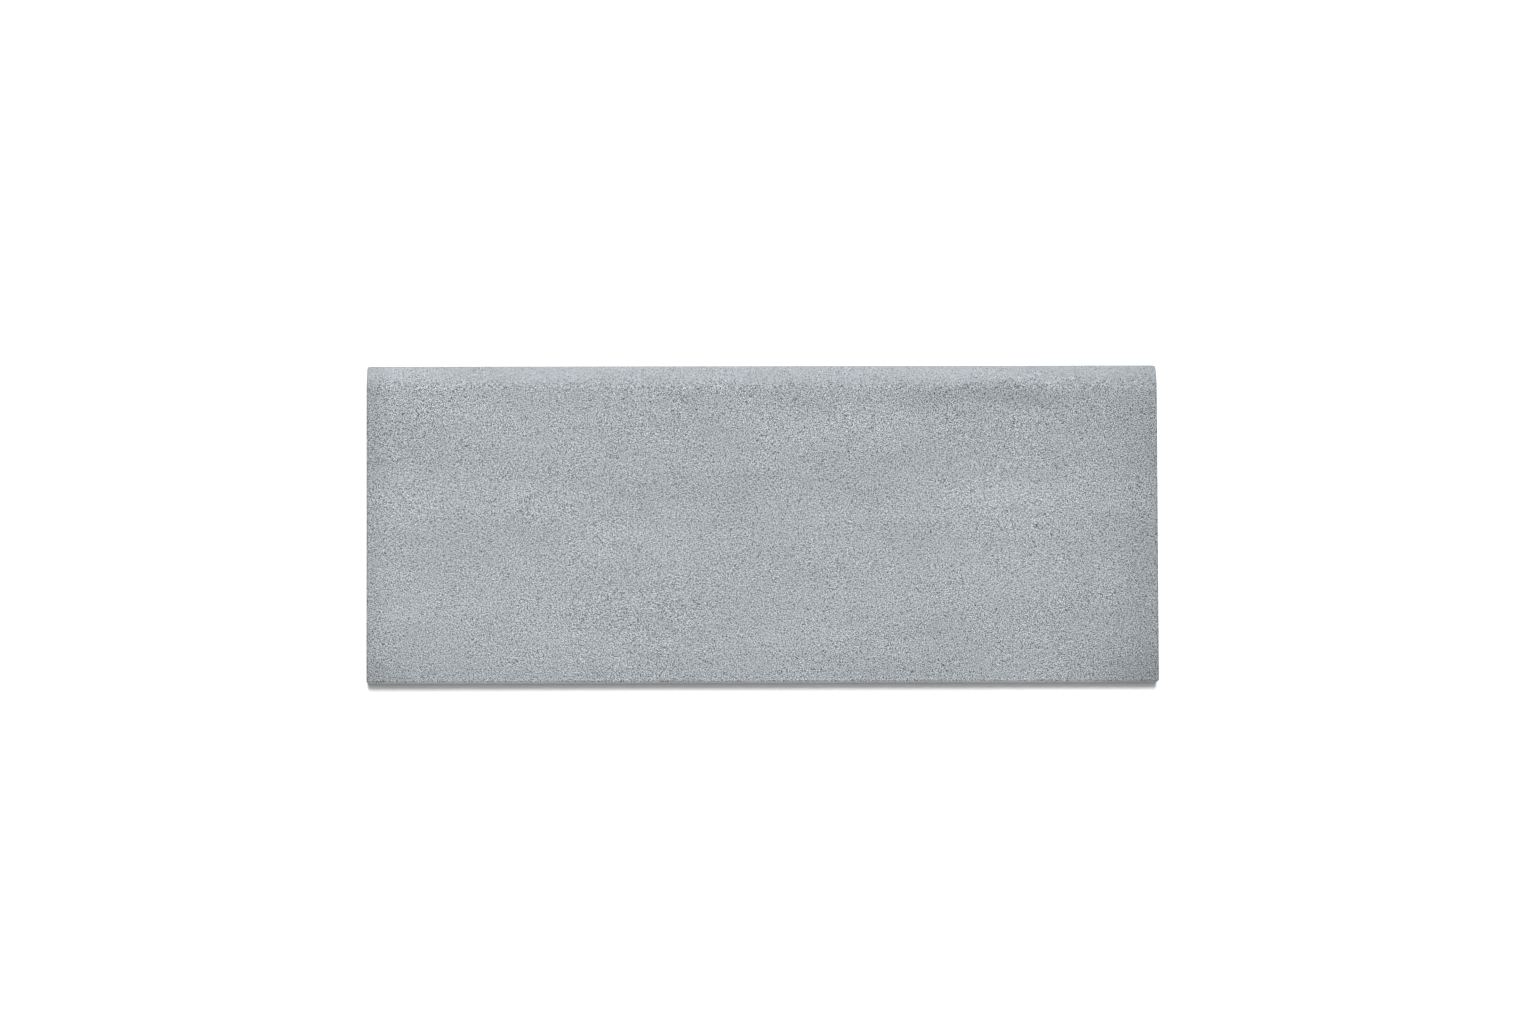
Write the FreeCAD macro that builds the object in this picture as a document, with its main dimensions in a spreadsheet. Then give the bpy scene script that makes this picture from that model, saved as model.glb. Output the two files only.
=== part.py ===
"""Pool coping stone: one slab of cast concrete that caps the wall of a swimming pool.

From above it is a flat paving slab. Its long pool side is rounded over into a nose, which overhangs
the water, so that a hand or a foot meets no sharp edge. The other three sides are square, and they
butt against the next coping stones and the terrace paving. The stone is cast in one piece, so it is
one solid: a cross-section drawn once, padded to length, with its worn and struck edges added.

Millimetres. +X runs along the edge of the pool, +Y points across the stone to the pool, +Z is up.
The origin is the middle of the underside.
"""

import FreeCAD
import Part
import Sketcher
import math
import os

OUT_FOLDER = "parts"
STONE = "coping_stone"
SHEET = "Dimensions"

# alias, millimetres, what it measures
DIMENSIONS = (
    ("stone_length", 992, "along the edge of the pool"),
    ("stone_depth", 400, "from the back face to the front of the nose"),
    ("stone_thickness", 50, "from the bedding face to the top face"),
    ("nose_radius", 34, "round-over of the upper pool-side edge"),
    ("arris_radius", 2, "worn round of the upper and upright edges"),
    ("bed_chamfer", 1.5, "small chamfer round the bedding face"),
)

TOUCHING = 1e-4  # two places this close together are the same


def make_sheet(doc):
    """The spreadsheet of driving dimensions, one row for each."""
    sheet = doc.addObject("Spreadsheet::Sheet", SHEET)
    for row, (alias, millimetres, meaning) in enumerate(DIMENSIONS, start=1):
        sheet.set(f"A{row}", alias)
        sheet.set(f"B{row}", str(millimetres))
        sheet.set(f"C{row}", meaning)
        sheet.setAlias(f"B{row}", alias)
    doc.recompute()
    return sheet


def origin_plane(body, role):
    """One of the body's own origin planes, such as YZ_Plane."""
    return next(f for f in body.Origin.OriginFeatures if f.Role == role)


def draw_section(body, sheet):
    """The cross-section, in the YZ plane: a rectangle whose upper pool-side corner is a quarter round."""
    sketch = body.newObject("Sketcher::SketchObject", "Section")
    sketch.AttachmentSupport = [(origin_plane(body, "YZ_Plane"), "")]
    sketch.MapMode = "FlatFace"

    pool = sheet.stone_depth / 2
    back = -pool
    top = sheet.stone_thickness
    nose = sheet.nose_radius
    point = FreeCAD.Vector
    arc_circle = Part.Circle(point(pool - nose, top - nose, 0), point(0, 0, 1), nose)
    bed = sketch.addGeometry(Part.LineSegment(point(back, 0, 0), point(pool, 0, 0)))
    face = sketch.addGeometry(Part.LineSegment(point(pool, 0, 0), point(pool, top - nose, 0)))
    round_over = sketch.addGeometry(Part.ArcOfCircle(arc_circle, 0, math.pi / 2))
    walk = sketch.addGeometry(Part.LineSegment(point(pool - nose, top, 0), point(back, top, 0)))
    rear = sketch.addGeometry(Part.LineSegment(point(back, top, 0), point(back, 0, 0)))

    start, end = 1, 2
    origin, vertical_axis = (-1, 1), -2
    constrain = sketch.addConstraint
    constrain(Sketcher.Constraint("Coincident", bed, end, face, start))
    constrain(Sketcher.Constraint("Tangent", face, end, round_over, start))
    constrain(Sketcher.Constraint("Tangent", round_over, end, walk, start))
    constrain(Sketcher.Constraint("Coincident", walk, end, rear, start))
    constrain(Sketcher.Constraint("Coincident", rear, end, bed, start))
    constrain(Sketcher.Constraint("PointOnObject", *origin, bed))
    constrain(Sketcher.Constraint("Symmetric", bed, start, bed, end, vertical_axis))
    constrain(Sketcher.Constraint("Vertical", face))
    constrain(Sketcher.Constraint("Horizontal", walk))
    constrain(Sketcher.Constraint("Vertical", rear))

    sizes = (
        ("depth", Sketcher.Constraint("DistanceX", bed, start, bed, end, pool - back), "stone_depth"),
        ("thickness", Sketcher.Constraint("DistanceY", bed, start, walk, end, top), "stone_thickness"),
        ("nose", Sketcher.Constraint("Radius", round_over, nose), "nose_radius"),
    )
    for name, constraint, alias in sizes:
        index = sketch.addConstraint(constraint)
        sketch.renameConstraint(index, name)
        sketch.setExpression(f"Constraints.{name}", f"{SHEET}.{alias}")
    return sketch


def pad_section(body, sketch):
    """The section padded to the stone's length, half of it to each side."""
    pad = body.newObject("PartDesign::Pad", "Slab")
    pad.Profile = sketch
    pad.setExpression("Length", f"{SHEET}.stone_length")
    pad.SideType = "Symmetric"
    sketch.Visibility = False
    body.Document.recompute()
    return pad


def lies_on(edge, y=None, z=None):
    """Whether an edge runs all along the given Y and Z, or along the one that is given."""
    box = edge.BoundBox
    on_y = y is None or (abs(box.YMin - y) < TOUCHING and abs(box.YMax - y) < TOUCHING)
    on_z = z is None or (abs(box.ZMin - z) < TOUCHING and abs(box.ZMax - z) < TOUCHING)
    return on_y and on_z


def edge_names(shape, wanted):
    """The names of the shape's edges that the test wanted() says yes to."""
    return [f"Edge{n}" for n, edge in enumerate(shape.Edges, start=1) if wanted(edge)]


def round_arrises(body, pad, sheet):
    """Rounds every edge but those of the bedding face and the two where the nose runs out smoothly."""
    pool = sheet.stone_depth / 2
    nose = sheet.nose_radius

    def worn(edge):
        runs_out = lies_on(edge, y=pool - nose, z=sheet.stone_thickness) or lies_on(
            edge, y=pool, z=sheet.stone_thickness - nose
        )
        return not runs_out and not lies_on(edge, z=0)

    fillet = body.newObject("PartDesign::Fillet", "WornArrises")
    fillet.Base = (pad, edge_names(pad.Shape, worn))
    fillet.setExpression("Radius", f"{SHEET}.arris_radius")
    body.Document.recompute()
    return fillet


def chamfer_bed(body, rounded):
    """The small chamfer all round the underside."""
    chamfer = body.newObject("PartDesign::Chamfer", "BedChamfer")
    chamfer.Base = (rounded, edge_names(rounded.Shape, lambda edge: lies_on(edge, z=0)))
    chamfer.setExpression("Size", f"{SHEET}.bed_chamfer")
    body.Document.recompute()
    return chamfer


def make_stone(doc, sheet):
    """The coping stone as a PartDesign body."""
    body = doc.addObject("PartDesign::Body", "CopingStone")
    body.Label = STONE
    section = draw_section(body, sheet)
    slab = pad_section(body, section)
    rounded = round_arrises(body, slab, sheet)
    body.Tip = chamfer_bed(body, rounded)
    body.Placement = FreeCAD.Placement(FreeCAD.Vector(0, 0, 0), FreeCAD.Rotation())
    doc.recompute()
    return body


def check(doc, stones):
    """Stops before anything is written if a feature failed or a solid isn't sound."""
    for item in doc.Objects:
        if "Invalid" in item.State or "Error" in item.State:
            raise RuntimeError(f"{item.Label} failed: {item.State}")
    for stone in stones:
        if stone.Shape.isNull() or not stone.Shape.isValid() or len(stone.Shape.Solids) != 1:
            raise RuntimeError(f"{stone.Label} is not one valid solid")


def main():
    doc = FreeCAD.newDocument("PoolCopingStone")
    sheet = make_sheet(doc)
    stones = [make_stone(doc, sheet)]
    check(doc, stones)
    os.makedirs(OUT_FOLDER, exist_ok=True)
    for stone in stones:
        stone.Shape.exportStep(os.path.join(OUT_FOLDER, stone.Label + ".step"))
        box = stone.Shape.optimalBoundingBox(False)
        litres = stone.Shape.Volume / 1e6
        print(
            f"{stone.Label}: {box.XLength:.1f} x {box.YLength:.1f} x {box.ZLength:.1f} mm, "
            f"{litres:.3f} litres, {len(stone.Shape.Faces)} faces"
        )


main()
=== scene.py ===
# %% [markdown]
# # A pool coping stone
#
# A coping stone caps the wall of a swimming pool. It is one slab of cast concrete, flat on top, with
# its pool side rounded over into a nose. The engineering model already gives its exact size and place,
# so it is loaded first as a fixed frame, and the length, depth and thickness are read from it. What
# Blender adds is what a plain model lacks: pores, worn edges, grain and stains.

import math

import bmesh
import bpy
import numpy as np
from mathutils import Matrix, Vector, geometry, noise


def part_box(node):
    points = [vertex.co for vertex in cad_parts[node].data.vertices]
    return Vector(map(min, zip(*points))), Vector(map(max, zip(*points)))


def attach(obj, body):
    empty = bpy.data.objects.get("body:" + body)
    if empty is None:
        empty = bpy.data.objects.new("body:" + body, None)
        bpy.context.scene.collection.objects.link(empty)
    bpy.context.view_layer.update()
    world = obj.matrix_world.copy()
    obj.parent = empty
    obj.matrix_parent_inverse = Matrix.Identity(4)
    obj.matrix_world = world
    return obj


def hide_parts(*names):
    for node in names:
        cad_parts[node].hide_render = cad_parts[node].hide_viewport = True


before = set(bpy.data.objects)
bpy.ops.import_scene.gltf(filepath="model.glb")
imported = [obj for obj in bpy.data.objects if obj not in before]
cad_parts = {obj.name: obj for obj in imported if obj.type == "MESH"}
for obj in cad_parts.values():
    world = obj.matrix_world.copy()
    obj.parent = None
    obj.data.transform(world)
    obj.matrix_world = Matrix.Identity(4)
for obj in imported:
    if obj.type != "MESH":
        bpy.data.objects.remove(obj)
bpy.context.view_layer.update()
low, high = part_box("coping_stone")
LENGTH, DEPTH, THICKNESS = high - low
END = LENGTH / 2
POOL = DEPTH / 2
MM = 0.001
print("stone", [round(side / MM, 1) for side in (LENGTH, DEPTH, THICKNESS)], "mm")

# %% [markdown]
# ## The camera
#
# The stone is looked at from high above and a little from behind its back face, so that it reads
# almost as a plan. A short lens close by would show it too, but would splay its edges apart. A long
# lens far away keeps the two ends nearly parallel. The rotation order YXZ turns the camera sideways
# first, then forwards, and last round the upright axis, which is almost its line of sight.

# %% Set up the camera
CAMERA_PLACE = (-0.1805, -0.7843, 10.0)
SIDEWAYS, FORWARDS, ROUND = -1.0405, 4.6008, -0.1196
LONG_LENS, SENSOR_WIDTH = 187.58, 36
FARTHEST_SEEN = 100

lens = bpy.data.cameras.new("plan_camera")
lens.lens = LONG_LENS
lens.sensor_width = SENSOR_WIDTH
lens.clip_end = FARTHEST_SEEN
camera = bpy.data.objects.new("plan_camera", lens)
camera.location = CAMERA_PLACE
camera.rotation_mode = "YXZ"
camera.rotation_euler = (math.radians(FORWARDS), math.radians(SIDEWAYS), math.radians(ROUND))
bpy.context.scene.collection.objects.link(camera)
bpy.context.scene.camera = camera
bpy.context.scene.view_settings.view_transform = "Standard"
print("camera is", round(Vector(CAMERA_PLACE).length, 2), "m away with a", LONG_LENS, "mm lens")

# %% [markdown]
# ## Node maths written as sums
#
# A procedural finish is a long sum of patterns, and a sum is easier to read than a drawing of wires.
# The class below wraps one output of a node. Adding or multiplying two wrapped outputs puts a Math
# node between them, so a finish can be written as one line of Python.

# %% One number on a surface
class Value:
    """One number at each point of a surface."""

    def __init__(self, finish, socket):
        self.finish = finish
        self.socket = socket

    def _join(self, operation, first, second, clamp=False):
        settings = {"operation": operation, "use_clamp": clamp}
        return self.finish.node("ShaderNodeMath", settings, {0: first, 1: second})["Value"]

    def __add__(self, other):
        return self._join("ADD", self, other)

    def __sub__(self, other):
        return self._join("SUBTRACT", self, other)

    def __rsub__(self, other):
        return self._join("SUBTRACT", other, self)

    def __mul__(self, other):
        return self._join("MULTIPLY", self, other)

    __radd__ = __add__
    __rmul__ = __mul__

    def unsigned(self):
        return self._join("ABSOLUTE", self, 0)

    def larger(self, other):
        return self._join("MAXIMUM", self, other)

    def clamped(self):
        """Held between 0 and 1."""
        return self._join("ADD", self, 0, clamp=True)

    def ramped(self, start, end):
        """0 up to start, 1 from end on, and a smooth rise between."""
        settings = {"interpolation_type": "SMOOTHSTEP"}
        inputs = {"Value": self, "From Min": start, "From Max": end}
        return self.finish.node("ShaderNodeMapRange", settings, inputs)["Result"]


print("sums of values are ready")

# %% [markdown]
# ## The node tree
#
# Every node comes from one method, which takes the node's type, its settings and what goes into its
# sockets. Settings come first, because they can change which sockets a node has. Places and colours
# go through Vector Math, because a Math node would turn them into a single number.

# %% The node tree
class Outputs:
    """The outputs of one node, by name."""

    def __init__(self, finish, made):
        self.finish = finish
        self.made = made

    def __getitem__(self, name):
        return Value(self.finish, self.made.outputs[name])


class Finish:
    """The node tree of a material or of the world."""

    def __init__(self, owner):
        owner.use_nodes = True
        self.owner = owner
        self.tree = owner.node_tree
        self.tree.nodes.clear()

    def node(self, kind, settings=None, inputs=None):
        made = self.tree.nodes.new(kind)
        for name, setting in (settings or {}).items():
            setattr(made, name, setting)
        for name, given in (inputs or {}).items():
            if isinstance(given, Value):
                self.tree.links.new(given.socket, made.inputs[name])
            else:
                made.inputs[name].default_value = given
        return Outputs(self, made)

    def vectors(self, operation, *given, result="Vector"):
        """Vector Math on places or colours, given in the order of the node's sockets."""
        settings = {"operation": operation}
        return self.node("ShaderNodeVectorMath", settings, dict(enumerate(given)))[result]

    def mixed(self, share, first, second):
        """One shader where share is 0, the other where it is 1."""
        inputs = {0: share, 1: first, 2: second}
        return self.node("ShaderNodeMixShader", None, inputs)["Shader"]


print("node trees are ready")

# %% [markdown]
# ## The floor
#
# The stone lies on a plain white floor. Seen directly, the floor is brighter than white paper, so it
# runs out to pure white a finger's breadth from the stone and still holds the narrow shadow under the
# back face. Stronger lamps would whiten the floor too, but they would bleach the stone. What the stone
# itself receives from the floor is an ordinary pale reflection, so the floor shader asks which kind of
# ray is looking.

# %% Make the floor
FLOOR_HALF = 30
FLOOR_DROP = 0.05 * MM
FLOOR_SEEN, FLOOR_REFLECTED = 1.36, 0.95


def seen_directly(finish):
    """1 for what the camera sees, straight or in a gloss, and 0 for light on its way to a surface."""
    path = finish.node("ShaderNodeLightPath")
    looked_at = path["Is Camera Ray"] + path["Is Glossy Ray"] + path["Is Transmission Ray"]
    return looked_at.clamped()


def make_floor():
    mesh = bpy.data.meshes.new("studio_floor")
    corners = [(-1, -1), (1, -1), (1, 1), (-1, 1)]
    places = [(x * FLOOR_HALF, y * FLOOR_HALF, low.z - FLOOR_DROP) for x, y in corners]
    mesh.from_pydata(places, [], [(0, 1, 2, 3)])
    floor = bpy.data.objects.new("studio_floor", mesh)
    bpy.context.scene.collection.objects.link(floor)

    finish = Finish(bpy.data.materials.new("white_floor"))
    shaders = []
    for brightness in (FLOOR_REFLECTED, FLOOR_SEEN):
        colour = (brightness, brightness, brightness, 1)
        shaders.append(finish.node("ShaderNodeBsdfDiffuse", None, {"Color": colour})["BSDF"])
    surface = finish.mixed(seen_directly(finish), *shaders)
    finish.node("ShaderNodeOutputMaterial", None, {"Surface": surface})
    mesh.materials.append(finish.owner)


make_floor()
print("floor at z =", round(low.z - FLOOR_DROP, 5), "m")

# %% [markdown]
# ## The light
#
# Three plain lights add up to 1 on a level surface, so the flat top renders in about the colour that
# its material states. The sky gives nearly a third. A high lamp, tipped slightly towards the pool
# side, gives more than half, and its tip sets how wide the shadow behind the stone is. A low lamp on
# the pool side gives the rest, and lifts the rounded nose above the flat top. One large area lamp
# could do all three jobs, but then none of them could be set alone.

# %% Set up the light
SKY_SHARE, HIGH_SHARE, LOW_SHARE = 0.30, 0.57, 0.13
# in degrees: how far a lamp is tipped from overhead, and how wide it looks
HIGH_TIP, HIGH_WIDTH = 8.6, 9
LOW_TIP, LOW_WIDTH = 70, 35


def lamp_from_pool_side(name, share, tip, width):
    """A distant lamp, tipped from overhead towards the pool, that gives its share on a level face."""
    light = bpy.data.lights.new(name, "SUN")
    light.angle = math.radians(width)
    light.energy = math.pi * share / math.cos(math.radians(tip))
    lamp = bpy.data.objects.new(name, light)
    lamp.rotation_euler = (-math.radians(tip), 0, 0)
    bpy.context.scene.collection.objects.link(lamp)
    return light


def make_sky():
    """A sky that lights with its share, and is white where the camera sees it."""
    world = bpy.data.worlds.new("studio_sky")
    bpy.context.scene.world = world
    finish = Finish(world)
    skies = []
    for strength in (SKY_SHARE, 1):
        inputs = {"Color": (1, 1, 1, 1), "Strength": strength}
        skies.append(finish.node("ShaderNodeBackground", None, inputs)["Background"])
    surface = finish.mixed(seen_directly(finish), *skies)
    finish.node("ShaderNodeOutputWorld", None, {"Surface": surface})


make_sky()
high_lamp = lamp_from_pool_side("high_lamp", HIGH_SHARE, HIGH_TIP, HIGH_WIDTH)
low_lamp = lamp_from_pool_side("low_lamp", LOW_SHARE, LOW_TIP, LOW_WIDTH)
print("lamps", round(high_lamp.energy, 3), round(low_lamp.energy, 3))

# %% [markdown]
# ## The outline of a slice
#
# Cut across, the stone is a rectangle with one quarter-round corner, a small worn rear corner and a
# small chamfer each side of its bed. A list of sampled points could draw that, but it would fix how
# smooth the nose is. Here lines and arcs are kept as what they are, and a point is found by walking
# that many metres round the outline from the middle of the underside.

# %% Lines and arcs
NOSE, WORN, BED = 34 * MM, 2 * MM, 1.5 * MM


def straight_step(start, end):
    """The length of a line, and its places and outward directions at shares of it."""
    start, end = np.array(start), np.array(end)
    along = end - start
    length = float(np.hypot(*along))
    outward = np.array([along[1], -along[0]]) / length
    return length, lambda shares: (start + shares[:, None] * along, np.tile(outward, (len(shares), 1)))


def curved_step(middle, radius, first, last):
    """The length of an arc, and its places and outward directions at shares of it."""
    def place(shares):
        angle = first + shares * (last - first)
        outward = np.stack([np.cos(angle), np.sin(angle)], 1)
        return np.array(middle) + radius * outward, outward
    return radius * (last - first), place


print("nose, worn edge and bed chamfer:", [round(size / MM, 1) for size in (NOSE, WORN, BED)], "mm")

# %% Walk round the section
QUARTER = math.pi / 2
ROUNDING = 1e-12
# name of each step, its length, and what gives its places
STEPS = (
    ("bed_front", *straight_step((0, 0), (POOL - BED, 0))),
    ("chamfer_front", *straight_step((POOL - BED, 0), (POOL, BED))),
    ("land", *straight_step((POOL, BED), (POOL, THICKNESS - NOSE))),
    ("nose", *curved_step((POOL - NOSE, THICKNESS - NOSE), NOSE, 0, QUARTER)),
    ("walk", *straight_step((POOL - NOSE, THICKNESS), (-POOL + WORN, THICKNESS))),
    ("rear_arris", *curved_step((-POOL + WORN, THICKNESS - WORN), WORN, QUARTER, 2 * QUARTER)),
    ("back", *straight_step((-POOL, THICKNESS - WORN), (-POOL, BED))),
    ("chamfer_back", *straight_step((-POOL, BED), (-POOL + BED, 0))),
    ("bed_back", *straight_step((-POOL + BED, 0), (0, 0))),
)
ROUND_TRIP = sum(length for _, length, _ in STEPS)
STARTS = dict(zip((step[0] for step in STEPS), np.cumsum([0] + [step[1] for step in STEPS[:-1]])))
LENGTHS = {name: length for name, length, _ in STEPS}


def on_section(walked):
    """Places and outward directions, across and up, of points walked this far round."""
    places = np.zeros((len(walked), 2))
    outward = np.zeros((len(walked), 2))
    for name, length, place in STEPS:
        start = STARTS[name]
        here = (walked >= start - ROUNDING) & (walked <= start + length + ROUNDING)
        shares = np.clip((walked[here] - start) / length, 0, 1)
        places[here], outward[here] = place(shares)
    return places, outward


print("once round the section is", round(ROUND_TRIP / MM, 1), "mm")

# %% [markdown]
# ## Where the skin's points lie
#
# The skin is laid out flat, like a label before it goes on a tin: along the stone one way and round
# the section the other. A regular grid would be simpler, but its lines would show in the relief. So
# the flat faces get scattered points, and only the curved and narrow parts get straight rows, because
# an uneven triangle there would show as a dent. The end rings are shared with the end faces.

# %% Ways of placing points
RANDOM_START = 8
rng = np.random.default_rng(RANDOM_START)
STRAIGHT = END - WORN
REACH = STRAIGHT + WORN * QUARTER
# how far a scattered point strays, as a share of the spacing
SCATTER = 0.32


def even(length, spacing):
    """How many points divide a length at about this spacing."""
    return max(2, int(round(length / spacing)) + 1)


def scattered(step, spacing):
    """Rows of points on a flat face, each moved a little at random."""
    start, length = STARTS[step], LENGTHS[step]
    rows = np.linspace(start, start + length, even(length, spacing))[1:-1]
    points = []
    for number, row in enumerate(rows):
        along = np.arange(-STRAIGHT + spacing, STRAIGHT - spacing / 2, spacing)
        along = along + (number % 2) * spacing / 2
        jitter = rng.uniform(-SCATTER, SCATTER, (len(along), 2)) * spacing
        points.append(np.stack([along, np.full(len(along), row)], 1) + jitter)
    return points


def in_rows(walks, spacing):
    """Straight rows along the stone, stopping short of the end rings, which have their own points."""
    along = np.linspace(-STRAIGHT, STRAIGHT, even(2 * STRAIGHT, spacing))[1:-1]
    return [np.stack([along, np.full(len(along), walk)], 1) for walk in walks]


print("straight part of the stone:", round(2 * STRAIGHT / MM, 1), "mm")

# %% Scatter the points of the skin
FACE_SPACING = {
    "bed_front": 9 * MM,
    "bed_back": 9 * MM,
    "walk": 4.6 * MM,
    "back": 3.6 * MM,
    "land": 3.6 * MM,
}
# number of rows, and the spacing along each
ROWS = {
    "nose": (17, 3.4 * MM),
    "rear_arris": (6, 1.9 * MM),
    "chamfer_front": (3, 4 * MM),
    "chamfer_back": (3, 4 * MM),
}
SEAM_SPACING = 8 * MM
RING_SPACING = 2.8 * MM
WIDE_RING_SPACING = {"bed_front": 8 * MM, "bed_back": 8 * MM}
RINGS = 6


def end_walks():
    """How the two end rings are divided, the same at each end, so that the end faces fit."""
    walks = []
    for name, length, _ in STEPS:
        count = even(length, WIDE_RING_SPACING.get(name, RING_SPACING))
        walks += list(np.linspace(STARTS[name], STARTS[name] + length, count)[:-1])
    return np.array(walks + [ROUND_TRIP])


def skin_points():
    points = []
    for step, spacing in FACE_SPACING.items():
        points += scattered(step, spacing)
    for step, (count, spacing) in ROWS.items():
        walks = np.linspace(STARTS[step], STARTS[step] + LENGTHS[step], count)
        points += in_rows(walks, spacing)
    points += in_rows([0.0, ROUND_TRIP], SEAM_SPACING)
    ring = end_walks()
    for share in np.linspace(0, 1, RINGS):
        for side in (-1, 1):
            column = side * (STRAIGHT + share * (REACH - STRAIGHT))
            points.append(np.stack([np.full(len(ring), column), ring], 1))
    return np.concatenate(points)


skin_flat = skin_points()
print("skin points before the pores:", len(skin_flat))

# %% [markdown]
# ## The pores
#
# Air bubbles caught against the mould leave small open pores. They differ in size, most of them are
# tiny, and they come in loose clusters. They could be dark dots in the material, but dots stay dark
# under any light. So each is cut as real relief, with a crooked rim on the surface and a smaller
# floor below it. The nose is trowelled smoother, so its pores are fewer and smaller.

# %% Choose where the pores lie
# on each face: how many pores, and how large against those of the top
KINDS = {
    "walk": (2600, 1.0),
    "nose": (190, 0.85),
    "land": (70, 0.85),
    "back": (330, 1.15),
    "bed_front": (120, 1.5),
    "bed_back": (120, 1.5),
}
SMALLEST, LARGEST = 0.5 * MM, 1.7 * MM
MOSTLY_SMALL = 5
MARGIN, APART = 3.4 * MM, 0.7 * MM
CLUSTERS, CLUSTER_LAYER, CLUSTERING = 26, 4.0, 1.4
SITE_CELL = 2 * LARGEST + 1 * MM


def clustered(along, walked):
    """How likely a pore is here, from a broad noise."""
    spot = Vector((along * CLUSTERS, walked * CLUSTERS, CLUSTER_LAYER))
    return (0.5 + 0.5 * noise.noise(spot)) ** CLUSTERING


def cell_of(along, walked, cell):
    return int(along // cell), int(walked // cell)


def neighbours(grid, along, walked, cell):
    """The pores in this cell of a grid and in the eight round it."""
    column, row = cell_of(along, walked, cell)
    around = [(column + i, row + j) for i in (-1, 0, 1) for j in (-1, 0, 1)]
    return [site for key in around for site in grid.get(key, ())]


def pore_sites():
    """Middle and radius of each pore, none touching another."""
    sites, taken = [], {}
    for step, (count, scale) in KINDS.items():
        start, length = STARTS[step], LENGTHS[step]
        made = 0
        margin = min(MARGIN, length / 4)
        while made < count:
            along = rng.uniform(-STRAIGHT + MARGIN, STRAIGHT - MARGIN)
            walked = rng.uniform(start + margin, start + length - margin)
            radius = (SMALLEST + (LARGEST - SMALLEST) * rng.random() ** MOSTLY_SMALL) * scale
            radius = min(radius, LARGEST)
            if rng.random() > clustered(along, walked):
                continue
            near = neighbours(taken, along, walked, SITE_CELL)
            if any(math.hypot(along - a, walked - w) < radius + r + APART for a, w, r in near):
                continue
            taken.setdefault(cell_of(along, walked, SITE_CELL), []).append((along, walked, radius))
            sites.append((along, walked, radius))
            made += 1
    return sites


sites = pore_sites()
print("pores:", len(sites))

# %% Shape the pores
SMALL_PORE, FEW_CORNERS, MORE_CORNERS = 1 * MM, 6, 8
MOST_STRETCHED = 1.45
SHALLOWEST, DEEPEST = 0.55, 1.15
FLOOR_SHARE = 0.55
CROOKED_RIM = (0.82, 1.15)
UNEVEN_FLOOR = (0.85, 1.1)


def pore_rings(sites):
    """Rim and floor points of every pore, with how deep each lies and whose rim it is on."""
    points, depths, rims = [], [], []
    for number, (along, walked, radius) in enumerate(sites):
        corners = FEW_CORNERS if radius < SMALL_PORE else MORE_CORNERS
        turn = rng.uniform(0, math.pi)
        stretch = rng.uniform(1, MOST_STRETCHED)
        angles = np.linspace(0, 2 * math.pi, corners, endpoint=False) + rng.uniform(0, 1)
        depth = radius * rng.uniform(SHALLOWEST, DEEPEST)
        for share, below in ((1, 0), (FLOOR_SHARE, 1)):
            uneven = share * radius * rng.uniform(*CROOKED_RIM, corners)
            x, y = uneven * np.cos(angles) * stretch, uneven * np.sin(angles) / stretch
            ring_x = along + x * math.cos(turn) - y * math.sin(turn)
            ring_y = walked + x * math.sin(turn) + y * math.cos(turn)
            points.append(np.stack([ring_x, ring_y], 1))
            depths.append(np.full(corners, depth * below) * rng.uniform(*UNEVEN_FLOOR, corners))
            rims.append(np.full(corners, -1 if below else number))
    return np.concatenate(points), np.concatenate(depths), np.concatenate(rims)


pore_flat, pore_depth, pore_rim = pore_rings(sites)
print("pore points:", len(pore_flat))

# %% Clear the skin round the pores
CLEAR_CELL = 8 * MM
CLEAR_SHARE, CLEAR_GAP = 1.5, 0.5 * MM
SAME_PLACE = 1e-9


def clear_of(points, sites):
    """Which points lie clear of every pore."""
    grid = {}
    for site in sites:
        grid.setdefault(cell_of(site[0], site[1], CLEAR_CELL), []).append(site)
    keep = np.ones(len(points), bool)
    for index, (along, walked) in enumerate(points):
        near = neighbours(grid, along, walked, CLEAR_CELL)
        keep[index] = not any(
            math.hypot(along - a, walked - w) < r * CLEAR_SHARE + CLEAR_GAP for a, w, r in near
        )
    return keep


on_edge = np.abs(skin_flat[:, 0]) > STRAIGHT - SAME_PLACE
on_seam = (skin_flat[:, 1] < SAME_PLACE) | (skin_flat[:, 1] > ROUND_TRIP - SAME_PLACE)
skin_flat = skin_flat[clear_of(skin_flat, sites) | on_edge | on_seam]
print("skin points kept:", len(skin_flat))

# %% [markdown]
# ## Wrapping the skin round the section
#
# The flat layout is joined into triangles, each as plump as its points allow. Then every point is
# carried to its place: along the stone it stays where it is, and round the section it follows the
# outline. Past the straight part it rolls over the worn edge onto the end. Modifiers could bend a flat
# mesh too, but this way each point's place is exact, and the two long seams meet to the last digit.

# %% Carry points to their places
def joined(points):
    """The triangles of a plump net over flat points, as numbers into them."""
    flat = [Vector((float(x), float(y))) for x, y in points]
    _, _, faces, origins, _, _ = geometry.delaunay_2d_cdt(flat, [], [], 0, SAME_PLACE, True)
    first = [origin[0] for origin in origins]
    return [tuple(first[corner] for corner in face) for face in faces]


def rolled(along):
    """Where along the stone a point lies, how far inwards, and how far it is turned to the end."""
    over = np.clip((np.abs(along) - STRAIGHT) / WORN, 0, QUARTER)
    side = np.sign(along)
    x = np.where(over > 0, side * (STRAIGHT + WORN * np.sin(over)), along)
    return x, WORN * (1 - np.cos(over)), over, side


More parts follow.
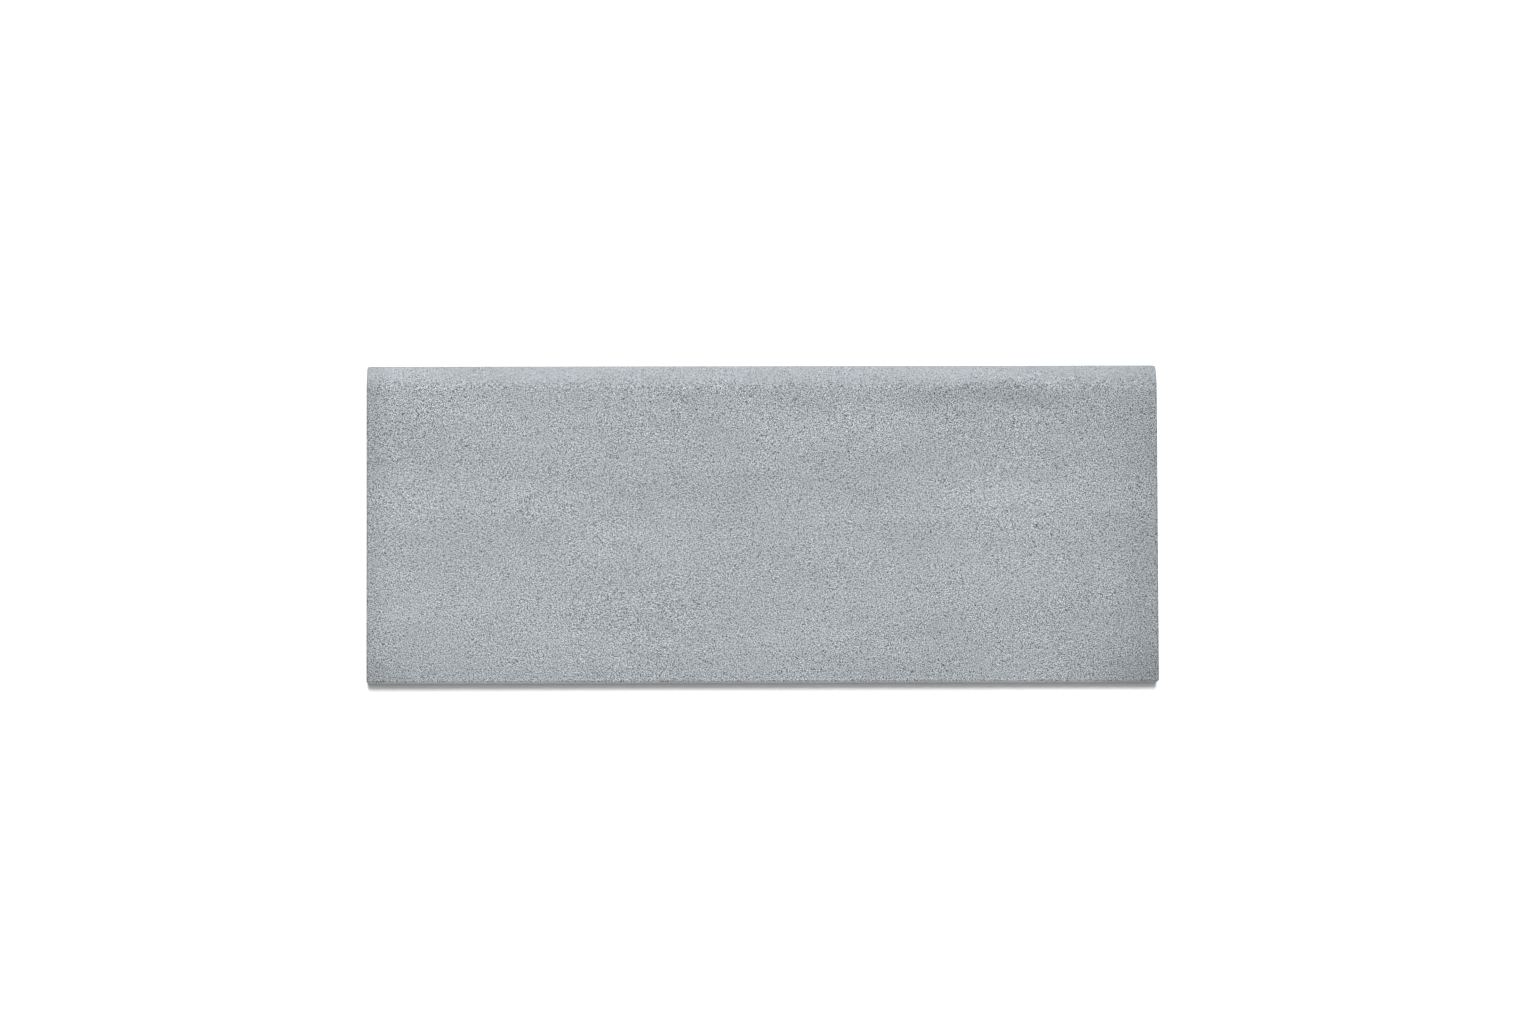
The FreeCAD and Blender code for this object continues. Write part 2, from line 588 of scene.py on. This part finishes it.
def pressed_in(places, inwards):
    """Section places moved into the shape that lies this far inside the section."""
    y, z = places[:, 0].copy(), places[:, 1].copy()
    y = np.clip(y, -POOL + inwards, POOL - inwards)
    z = np.clip(z, inwards, THICKNESS - inwards)
    across, up = y - (POOL - NOSE), z - (THICKNESS - NOSE)
    far = np.hypot(across, up)
    on_nose = (across > 0) & (up > 0) & (far > NOSE - inwards)
    scale = np.where(on_nose, (NOSE - inwards) / np.maximum(far, SAME_PLACE), 1)
    y = np.where(on_nose, POOL - NOSE + across * scale, y)
    z = np.where(on_nose, THICKNESS - NOSE + up * scale, z)
    return np.stack([y, z], 1)


all_flat = np.concatenate([skin_flat, pore_flat])
skin_faces = joined(all_flat)
print("skin triangles:", len(skin_faces))

# %% [markdown]
# ## Waves, chips and worn corners
#
# A cast slab is never perfectly flat, and its edges lose crumbs. A slow wave, a fine ripple, small
# chips along the edges and a rounding of the nose corners are therefore pressed into the skin. They
# only ever go inwards, so the stone never grows past its engineering size.

# %% Press in the wear
# depth, and how many waves in a metre
WAVE, WAVE_SIZE = 0.16 * MM, 7
RIPPLE, RIPPLE_SIZE = 0.07 * MM, 60
CHIP, CHIP_SIZE, CHIP_START = 1.5 * MM, 95, 0.30
NOSE_WEAR = 0.9 * MM
EDGE_REACH = 4 * MM


def edge_nearness(place):
    """1 on an edge, and 0 where the second nearest face is EDGE_REACH away or more."""
    gaps = sorted((END - abs(place[0]), POOL - abs(place[1]), THICKNESS - place[2], place[2]))
    if place[1] > POOL - NOSE and place[2] > THICKNESS - NOSE:
        across, up = place[1] - (POOL - NOSE), place[2] - (THICKNESS - NOSE)
        gaps = sorted((END - abs(place[0]), NOSE - math.hypot(across, up)))
    return max(0.0, 1 - gaps[1] / EDGE_REACH)


def relief(place):
    """How far a point is pressed in: a slow wave, a fine ripple, chips and worn nose corners."""
    spot = Vector(place)
    wave = WAVE * (0.5 + 0.5 * noise.noise(spot * WAVE_SIZE))
    ripple = RIPPLE * (0.5 + 0.5 * noise.noise(spot * RIPPLE_SIZE))
    near = edge_nearness(place)
    chip = max(0.0, noise.noise(spot * CHIP_SIZE) - CHIP_START) * CHIP * near
    along_nose = min(max((place[1] - (POOL - NOSE)) / NOSE, 0.0), 1.0)
    return wave + ripple + chip + NOSE_WEAR * along_nose * near * near


def wrapped(points, depths):
    """Flat points carried onto the stone and pressed in by the relief and their own depth."""
    x, inwards, over, side = rolled(points[:, 0])
    places, outward = on_section(points[:, 1])
    places = pressed_in(places, inwards)
    surface = np.column_stack([x, places])
    normal = np.column_stack([side * np.sin(over), outward * np.cos(over)[:, None]])
    press = np.array([relief(place) for place in surface]) + depths
    return surface - normal * press[:, None]


all_depth = np.concatenate([np.zeros(len(skin_flat)), pore_depth])
skin_places = wrapped(all_flat, all_depth)
print("deepest pore point:", round(float(all_depth.max()) / MM, 2), "mm")

# %% [markdown]
# ## The two end faces
#
# Each end is closed by a face whose rim is exactly the last ring of the skin. One large polygon would
# close it too, but could carry no relief, so it is filled with scattered points. Using the same points
# on both sides of the join is what makes the mesh watertight once they are welded.

# %% Close the ends
END_SPACING, END_MARGIN = 4.2 * MM, 1.6 * MM
RING_DIGITS = 7


def inside_end(y, z, margin):
    """Whether a place lies this far or more inside the rim of an end face."""
    inner = pressed_in(np.array([[y, z]]), np.array([WORN + margin]))[0]
    return math.hypot(inner[0] - y, inner[1] - z) < SAME_PLACE


def end_rim():
    """The last ring of the skin, across and up, each place once."""
    walks = end_walks()
    ring, _ = on_section(walks)
    ring = pressed_in(ring, np.full(len(ring), WORN))
    _, unique = np.unique(np.round(ring, RING_DIGITS), axis=0, return_index=True)
    return ring[np.sort(unique)]


def end_face(side):
    """Places and triangles of one end face."""
    inner = []
    for y in np.arange(-POOL, POOL, END_SPACING):
        for z in np.arange(0, THICKNESS, END_SPACING):
            spot = rng.uniform(-SCATTER, SCATTER, 2) * END_SPACING + (y, z)
            if inside_end(*spot, END_MARGIN):
                inner.append(spot)
    flat = np.concatenate([end_rim(), np.array(inner)])
    places = np.column_stack([np.full(len(flat), side * END), flat])
    places[:, 0] -= side * np.array([relief(place) for place in places])
    return places, joined(flat)


ends = [end_face(side) for side in (-1, 1)]
print("end triangles:", [len(faces) for _, faces in ends])

# %% [markdown]
# ## Welding the stone
#
# The skin and the two ends go into one mesh. Their shared points are welded, so that no edge is left
# open, and the loose ends of the skin's own seam close at the same time. The whole stone is shaded
# smooth, except for the rims of the pores, which stay crisp. The mesh also remembers which points are
# pore floors, so that the material can darken them with dirt and painted shade.

# %% Gather the parts
def gathered():
    """One mesh of the skin and both ends, not yet welded, with a mark for pore floors and for rims."""
    places = [skin_places]
    faces = list(skin_faces)
    pore_marks = [np.where(all_depth > 0, 1.0, 0.0)]
    rims = [np.full(len(skin_flat), -1), pore_rim]
    offset = len(skin_places)
    for end_places, end_faces in ends:
        places.append(end_places)
        faces += [tuple(corner + offset for corner in face) for face in end_faces]
        pore_marks.append(np.zeros(len(end_places)))
        rims.append(np.full(len(end_places), -1))
        offset += len(end_places)
    mesh = bpy.data.meshes.new("coping_stone_cast")
    mesh.from_pydata(np.concatenate(places).tolist(), [], faces)
    mark = mesh.attributes.new("pore", "FLOAT", "POINT")
    mark.data.foreach_set("value", np.concatenate(pore_marks).astype(np.float32))
    rim = mesh.attributes.new("rim", "INT", "POINT")
    rim.data.foreach_set("value", np.concatenate(rims).astype(np.int32))
    return mesh


stone_mesh = gathered()
print("points before welding:", len(stone_mesh.vertices))

# %% Weld the stone
WELD, NO_LENGTH = 2e-6, 1e-7


def weld(mesh):
    """Joins the shared points, turns every face outwards and keeps the pore rims crisp."""
    work = bmesh.new()
    work.from_mesh(mesh)
    bmesh.ops.remove_doubles(work, verts=work.verts, dist=WELD)
    bmesh.ops.dissolve_degenerate(work, edges=work.edges, dist=NO_LENGTH)
    bmesh.ops.recalc_face_normals(work, faces=work.faces)
    rim_layer = work.verts.layers.int["rim"]
    for edge in work.edges:
        first, second = (vert[rim_layer] for vert in edge.verts)
        edge.smooth = not (first >= 0 and first == second)
    for face in work.faces:
        face.smooth = True
    open_edges = sum(not edge.is_manifold for edge in work.edges)
    loose = sum(not vert.link_faces for vert in work.verts)
    triangles = sum(len(face.verts) - 2 for face in work.faces)
    volume = work.calc_volume(signed=True)
    work.to_mesh(mesh)
    work.free()
    mesh.attributes.remove(mesh.attributes["rim"])
    print("triangles", triangles, "open edges", open_edges, "loose points", loose)
    print("litres", round(volume * 1000, 3))


weld(stone_mesh)
stone = bpy.data.objects.new("coping_stone_cast", stone_mesh)
bpy.context.scene.collection.objects.link(stone)

# %% [markdown]
# ## The concrete
#
# Cast concrete is cement paste packed with sand. Seen close, the grains differ in their grey, pinholes
# show as dark points and a few grains are pale. Sand is graded, so three noises stand for its coarse,
# middling and fine grains. Their cells fit the stone a whole number of times each way: noise is
# calmest where a face cuts it between two layers of cells, so the flat faces come out nearly alike.
# The mottle is stronger in some patches, as sand and paste never mix perfectly.

# %% Patterns to draw from
def noise_at(finish, vector, scale, detail=0):
    """A smooth random number, 0.5 on average."""
    inputs = {"Vector": vector, "Scale": scale, "Detail": detail}
    return finish.node("ShaderNodeTexNoise", None, inputs)["Fac"]


def cells_at(finish, vector, scale):
    """Crooked cells, this many in a metre."""
    return finish.node("ShaderNodeTexVoronoi", None, {"Vector": vector, "Scale": scale})


def dots(finish, vector, scale, core, rim):
    """1 in the middle of scattered dots, 0 outside them. The sizes are shares of a cell."""
    return 1 - cells_at(finish, vector, scale)["Distance"].ramped(core, rim)


print("patterns ready")

# %% Sand, pinholes and pale specks
# cells in a metre, and contrast
GRADES = ((400, 0.7), (700, 2.0), (1050, 4.2))
DUST_CELLS, DUST_CONTRAST = 1100, 0.3
PINHOLE_CELLS, PINHOLE_DARK, PINHOLE_SIZES = 260, 1.1, (0.12, 0.26)
SPECK_CELLS, SPECK_PALE, SPECK_SIZES = 190, 0.8, (0.04, 0.12)
LIVELY_CELLS, LIVELY_RISE, CALMEST, LIVELIEST = 30, (0.25, 0.75), 0.78, 1.22
# the pale side of the mottle is weaker, and this much is given back to keep the mean tone
PALE_LOST, PALE_BACK = 0.22, 0.052


def sand_of(finish, place):
    """The three grades of sand added up, 0 on average."""
    sand = 0
    for cells, contrast in GRADES:
        fit = [round(side * cells) / side for side in (END, POOL, THICKNESS)]
        fitted = finish.vectors("MULTIPLY", place, fit)
        sand = (noise_at(finish, fitted, 1) - 0.5) * contrast + sand
    return sand


def mottle_of(finish, place, sand):
    """Everything that makes one point of the surface paler or darker than the next."""
    cell = cells_at(finish, place, DUST_CELLS)["Color"]
    dust = finish.node("ShaderNodeSeparateColor", None, {"Color": cell})["Red"] - 0.5
    pinholes = dots(finish, place, PINHOLE_CELLS, *PINHOLE_SIZES)
    specks = dots(finish, place, SPECK_CELLS, *SPECK_SIZES)
    lively = noise_at(finish, place, LIVELY_CELLS, detail=3).ramped(*LIVELY_RISE)
    mottle = sand + dust * DUST_CONTRAST - pinholes * PINHOLE_DARK
    mottle = mottle * (CALMEST + lively * (LIVELIEST - CALMEST))
    mottle = mottle - mottle.larger(0) * PALE_LOST + PALE_BACK
    return mottle + specks * SPECK_PALE


print("sand cells of", [round(1 / (cells * MM), 2) for cells, _ in GRADES], "mm")

# %% [markdown]
# ## Clouds and stains
#
# From a step back the grain fades and slower changes show. Streaks run along the stone, the way it
# was cast and wiped, so their noise is squeezed along it, which draws its clouds out. Noise alone puts
# a stain anywhere, so the darker and paler patches that sit at known places are listed. Each is a soft
# oval, made uneven by shifting the place a little before measuring how far it is.

# %% Clouds and stains
# change of tone, and how many clouds in a metre
STREAKS, STREAK_SIZE = 0.27, 14
WISPS, WISP_SIZE = 0.12, 46
DRAWN_OUT = (0.3, 1, 1)
# which part of the endless noise is used
STREAK_SHIFT = (112.34, 173.02, 0)
# how far the outline of a patch strays, and how many bends in a metre
UNEVEN, UNEVEN_SIZE = 0.05, 18
NOSE_LINE = POOL - NOSE
# along, across, half length, half width, change of tone
PATCHES = (
    (-0.340, 0.024, 0.160, 0.028, 0.055),
    (0.267, 0.043, 0.130, 0.026, 0.040),
    (-0.280, -0.100, 0.180, 0.075, 0.025),
    (-0.034, 0.020, 0.085, 0.070, -0.055),
    (0.173, -0.018, 0.100, 0.026, -0.050),
    (0.255, -0.147, 0.090, 0.040, -0.035),
    (0.310, NOSE_LINE - 0.005, 0.190, 0.026, -0.140),
    (0.250, 0.110, 0.220, 0.060, -0.035),
    (0.270, POOL, 0.200, 0.034, 0.055),
    (-END, NOSE_LINE - 0.002, 0.045, 0.030, -0.080),
    (END, -POOL, 0.150, 0.080, -0.110),
    (-END, -POOL, 0.120, 0.060, -0.100),
)


def oval(finish, place, along, across, half_length, half_width):
    """1 in the middle of a soft oval that goes right through the stone, 0 at its rim and outside."""
    scale = (1 / half_length, 1 / half_width, 0)
    shift = (-along / half_length, -across / half_width, 0)
    from_middle = finish.vectors("MULTIPLY_ADD", place, scale, shift)
    return 1 - finish.vectors("LENGTH", from_middle, result="Value").ramped(0, 1)


def shaken(finish, place):
    """The place, moved a little along and across by a slow noise."""
    inputs = {"Vector": place, "Scale": UNEVEN_SIZE, "Detail": 2}
    wobble = finish.node("ShaderNodeTexNoise", None, inputs)["Color"]
    moved = finish.vectors("MULTIPLY_ADD", wobble, (UNEVEN, UNEVEN, 0), place)
    return finish.vectors("SUBTRACT", moved, (UNEVEN / 2, UNEVEN / 2, 0))


def cloud_tone(finish, place):
    """Streaks, wisps and patches, 1 on average."""
    drawn_out = finish.vectors("MULTIPLY_ADD", place, DRAWN_OUT, STREAK_SHIFT)
    tone = 1 + (noise_at(finish, drawn_out, STREAK_SIZE, detail=2) - 0.5) * STREAKS
    tone = tone + (noise_at(finish, drawn_out, WISP_SIZE, detail=2) - 0.5) * WISPS
    uneven_place = shaken(finish, place)
    for *spot, change in PATCHES:
        tone = tone + oval(finish, uneven_place, *spot) * change
    return tone


print("patches:", len(PATCHES))

# %% [markdown]
# ## Borders
#
# The stone is darker towards its ends and towards the rear edge of its top, and a broad painted shade
# falls off towards the right end. On top, the rims of the ends carry painted shade where the worn edge
# turns from the light, and the foot carries a painted contact shadow. Just inside the rear edge a line
# carries a painted highlight where the worn edge catches the light. A painted mask could hold all
# this, but measuring from the stone's own faces needs no picture, and it follows the stone if its size
# changes.

# %% Borders
# change of tone at each border, and how wide it is
LEFT, LEFT_WIDTH = -0.10, 34 * MM
RIGHT, RIGHT_WIDTH = -0.12, 72 * MM
# painted shade: a broad fall of light towards the right end
RIGHT_FALLOFF_SHADE, RIGHT_FALLOFF_WIDTH = -0.065, 200 * MM
REAR, REAR_WIDTH = -0.085, 60 * MM
BEHIND_NOSE, BEHIND_NOSE_WIDTH, NOSE_FRONT = -0.03, 25 * MM, 6 * MM
# painted contact shadow at the foot of the stone
FOOT_SHADOW, FOOT_SHADOW_HEIGHT = -0.60, 12 * MM
# painted shade at the rims of the ends: from where, and full from where
END_RIM_SHADE, END_RIM_SHADE_START, END_RIM_SHADE_FULL = -0.19, 3.5 * MM, 0.5 * MM
# painted highlight just inside the rear edge, where the worn edge catches the light
REAR_HIGHLIGHT, REAR_HIGHLIGHT_RISE, REAR_HIGHLIGHT_FALL = 0.09, (0.8 * MM, 2.2 * MM), (3 * MM, 5 * MM)
TOP_START, TOP_FULL = 4 * MM, 1 * MM


def border_tone(x, y, z):
    """Darker at the ends, the rear and behind the nose, with painted shade, foot shadow and highlight.
    """
    from_back, from_right = y + POOL, END - x
    on_top = z.ramped(THICKNESS - TOP_START, THICKNESS - TOP_FULL)
    # painted shade at the rims of the ends
    rim = x.unsigned().ramped(END - END_RIM_SHADE_START, END - END_RIM_SHADE_FULL) * on_top
    before_line = y.ramped(NOSE_LINE - BEHIND_NOSE_WIDTH, NOSE_LINE)
    past_line = y.ramped(NOSE_LINE, POOL - NOSE_FRONT)
    # painted highlight just inside the rear edge
    rear_highlight = from_back.ramped(*REAR_HIGHLIGHT_RISE) * (1 - from_back.ramped(*REAR_HIGHLIGHT_FALL)) * on_top
    borders = (
        (1 - (x + END).ramped(0, LEFT_WIDTH), LEFT),
        (1 - from_right.ramped(0, RIGHT_WIDTH), RIGHT),
        # painted shade falling off towards the right end
        (1 - from_right.ramped(0, RIGHT_FALLOFF_WIDTH), RIGHT_FALLOFF_SHADE),
        # painted shade at the end rims
        (rim, END_RIM_SHADE),
        ((1 - from_back.ramped(0, REAR_WIDTH)) * on_top, REAR),
        (before_line * (1 - past_line), BEHIND_NOSE),
        # painted contact shadow at the foot
        (1 - z.ramped(0, FOOT_SHADOW_HEIGHT), FOOT_SHADOW),
        # painted highlight inside the rear edge
        (rear_highlight, REAR_HIGHLIGHT),
    )
    tone = 1
    for share, change in borders:
        tone = tone * (1 + share * change)
    return tone


print("darkest border keeps", round(1 + FOOT_SHADOW, 2), "of the tone")

# %% [markdown]
# ## Mixing the concrete
#
# All tones multiply one cool grey, so the tint stays even while the brightness changes. Mixing several
# colours could tint the stains, but this concrete only turns paler or darker. The back face is made
# paler by painted light, and the pore floors are darker, partly as dirt and partly as painted shade.
# The sand also feeds a small bump and the roughness, because what looks like a grain must catch the
# light like one.

# %% Mix the concrete
COOL_GREY = (0.400, 0.427, 0.4505)
# pore floors darker, partly dirt and partly painted shade
PORE_DIRT_AND_SHADE = 0.40
DARKEST_GRAIN = 0.12
CALM_NOSE = 0.50
# painted light: the back face is made paler, within this reach of it
BACK_FACE_LIGHT, BACK_FACE_REACH = 0.16, 1 * MM
ROUGH, SAND_ROUGH, PORE_ROUGH = 0.86, 0.1, 0.06
BUMP_STRENGTH, BUMP_HEIGHT = 0.2, 0.2 * MM
GLOSS = 0.3


def make_concrete():
    concrete = Finish(bpy.data.materials.new("cast_concrete"))
    place = concrete.node("ShaderNodeTexCoord")["Object"]
    split = concrete.node("ShaderNodeSeparateXYZ", None, {"Vector": place})
    x, y, z = split["X"], split["Y"], split["Z"]
    pore = concrete.node("ShaderNodeAttribute", {"attribute_name": "pore"})["Fac"]

    sand = sand_of(concrete, place)
    calm = 1 - y.ramped(NOSE_LINE, POOL - NOSE / 2) * CALM_NOSE
    grain = (1 + mottle_of(concrete, place, sand) * calm).larger(DARKEST_GRAIN)
    # painted light on the back face
    on_back = 1 - y.ramped(-POOL, -POOL + BACK_FACE_REACH)
    tone = grain * cloud_tone(concrete, place) * border_tone(x, y, z)
    # pore floors darker, partly dirt and partly painted shade; the back face paler by painted light
    tone = tone * (1 - pore * PORE_DIRT_AND_SHADE) * (1 + on_back * BACK_FACE_LIGHT)
    scaled = {"Vector": COOL_GREY, "Scale": tone}
    colour = concrete.node("ShaderNodeVectorMath", {"operation": "SCALE"}, scaled)["Vector"]

    height = {"Height": sand, "Strength": BUMP_STRENGTH, "Distance": BUMP_HEIGHT}
    inputs = {
        "Base Color": colour,
        "Roughness": ROUGH + sand * SAND_ROUGH + pore * PORE_ROUGH,
        "Normal": concrete.node("ShaderNodeBump", None, height)["Normal"],
        "Specular IOR Level": GLOSS,
    }
    shader = concrete.node("ShaderNodeBsdfPrincipled", None, inputs)["BSDF"]
    concrete.node("ShaderNodeOutputMaterial", None, {"Surface": shader})
    return concrete.owner


stone.data.materials.append(make_concrete())
print("concrete nodes:", len(stone.data.materials[0].node_tree.nodes))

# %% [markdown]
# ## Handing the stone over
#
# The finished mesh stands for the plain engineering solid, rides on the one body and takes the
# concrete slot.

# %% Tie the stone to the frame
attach(stone, "root")
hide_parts("coping_stone")
